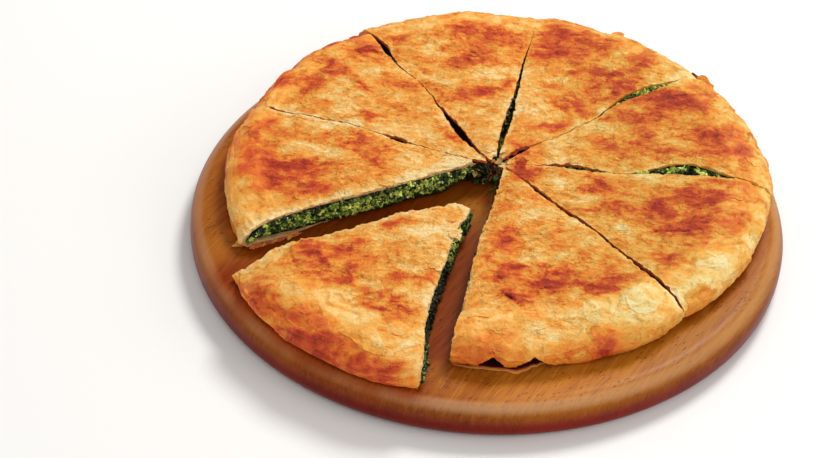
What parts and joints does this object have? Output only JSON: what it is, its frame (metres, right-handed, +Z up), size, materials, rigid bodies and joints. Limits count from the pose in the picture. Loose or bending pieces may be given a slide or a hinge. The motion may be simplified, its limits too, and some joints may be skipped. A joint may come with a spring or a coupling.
{
  "type": "borek",
  "caption": "Round spinach and white cheese borek, cut into wedges on a round wooden board, with one wedge drawn out a little.",
  "frame": {"origin": "middle of the board's underside", "axes": "+Z up, -Y towards the side that the drawn-out slice points to, +X to the right seen from there"},
  "size_m": [0.305, 0.305, 0.0389],
  "materials": {
    "beech": "oiled beech, satin, with fine short dark flecks",
    "baked_pastry": "thin flaky pastry, golden with red-brown spots and a slight buttery sheen",
    "spinach_filling": "moist chopped spinach with white cheese crumbs"
  },
  "bodies": {
    "root": {"board": "beech", "slice_1_pastry": "baked_pastry", "slice_1_filling": "spinach_filling", "slice_2_pastry": "baked_pastry", "slice_2_filling": "spinach_filling", "slice_3_pastry": "baked_pastry", "slice_3_filling": "spinach_filling", "slice_4_pastry": "baked_pastry", "slice_4_filling": "spinach_filling", "slice_5_pastry": "baked_pastry", "slice_5_filling": "spinach_filling", "slice_6_pastry": "baked_pastry", "slice_6_filling": "spinach_filling", "slice_7_pastry": "baked_pastry", "slice_7_filling": "spinach_filling", "slice_8_pastry": "baked_pastry", "slice_8_filling": "spinach_filling"}
  },
  "joints": []
}
